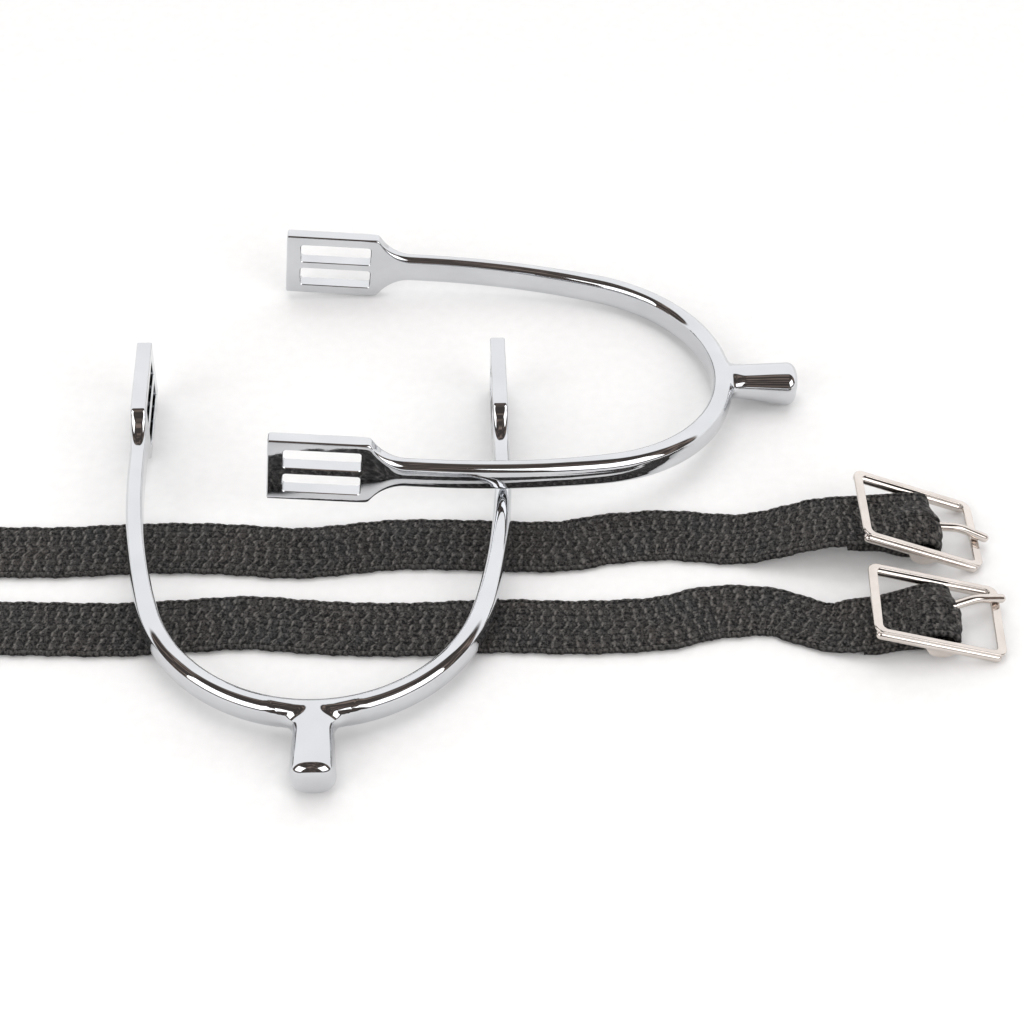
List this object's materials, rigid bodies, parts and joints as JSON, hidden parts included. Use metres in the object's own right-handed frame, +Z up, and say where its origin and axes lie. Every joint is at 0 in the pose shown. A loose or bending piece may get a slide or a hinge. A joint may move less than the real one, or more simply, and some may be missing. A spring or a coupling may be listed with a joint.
{
  "type": "pair of riding spurs with straps",
  "caption": "Pair of blunt round-neck riding spurs with slotted end plates, lying with two buckled nylon spur straps.",
  "frame": {"origin": "on the table, under the middle of the box that the two spurs fill", "axes": "+Z up; +X along the straps towards their buckles; +Y away from the lower spur's neck, towards its open end"},
  "size_m": [0.4579, 0.165, 0.0278],
  "materials": {
    "chrome": "bright polished chrome plate, smooth as cast and buffed, with faint haze and fine handling scratches",
    "nickel": "warm nickel plate, polished cast bars with slightly softened edges",
    "nylon": "black woven nylon webbing, coarse weave with a soft sheen",
    "thread": "black bonded polyester sewing thread"
  },
  "bodies": {
    "lower_spur": {"spur_lower": "chrome"},
    "upper_spur": {"spur_upper": "chrome"},
    "far_strap": {"strap_far_webbing": "nylon", "strap_far_fold": "nylon", "strap_far_stitching": "thread"},
    "far_buckle": {"buckle_far_frame": "nickel"},
    "far_tongue": {"buckle_far_tongue": "nickel"},
    "near_strap": {"strap_near_webbing": "nylon", "strap_near_fold": "nylon", "strap_near_stitching": "thread"},
    "near_buckle": {"buckle_near_frame": "nickel"},
    "near_tongue": {"buckle_near_tongue": "nickel"}
  },
  "joints": [
    {"name": "upper_spur_lift", "type": "slide", "parent": "lower_spur", "child": "upper_spur", "axis": [0, 0, 1], "range_m": [0, 0.08]},
    {"name": "far_strap_pull", "type": "slide", "parent": "lower_spur", "child": "far_strap", "axis": [1, 0, 0], "range_m": [0, 0.44]},
    {"name": "far_frame_swing", "type": "hinge", "parent": "far_strap", "child": "far_buckle", "pos_m": [0.10195, -0.0092, 0.0051], "axis": [0.0262, -0.9997, 0], "range_deg": [-75, 12]},
    {"name": "far_tongue_swing", "type": "hinge", "parent": "far_buckle", "child": "far_tongue", "pos_m": [0.10195, -0.0092, 0.0051], "axis": [0.0262, -0.9997, 0], "range_deg": [0, 100]},
    {"name": "near_strap_pull", "type": "slide", "parent": "lower_spur", "child": "near_strap", "axis": [1, 0, 0], "range_m": [0, 0.44]},
    {"name": "near_frame_swing", "type": "hinge", "parent": "near_strap", "child": "near_buckle", "pos_m": [0.1036, -0.0353, 0.00325], "axis": [-0.0262, -0.9997, 0], "range_deg": [-75, 11]},
    {"name": "near_tongue_swing", "type": "hinge", "parent": "near_buckle", "child": "near_tongue", "pos_m": [0.1036, -0.0353, 0.00325], "axis": [-0.0262, -0.9997, 0], "range_deg": [0, 100]}
  ]
}
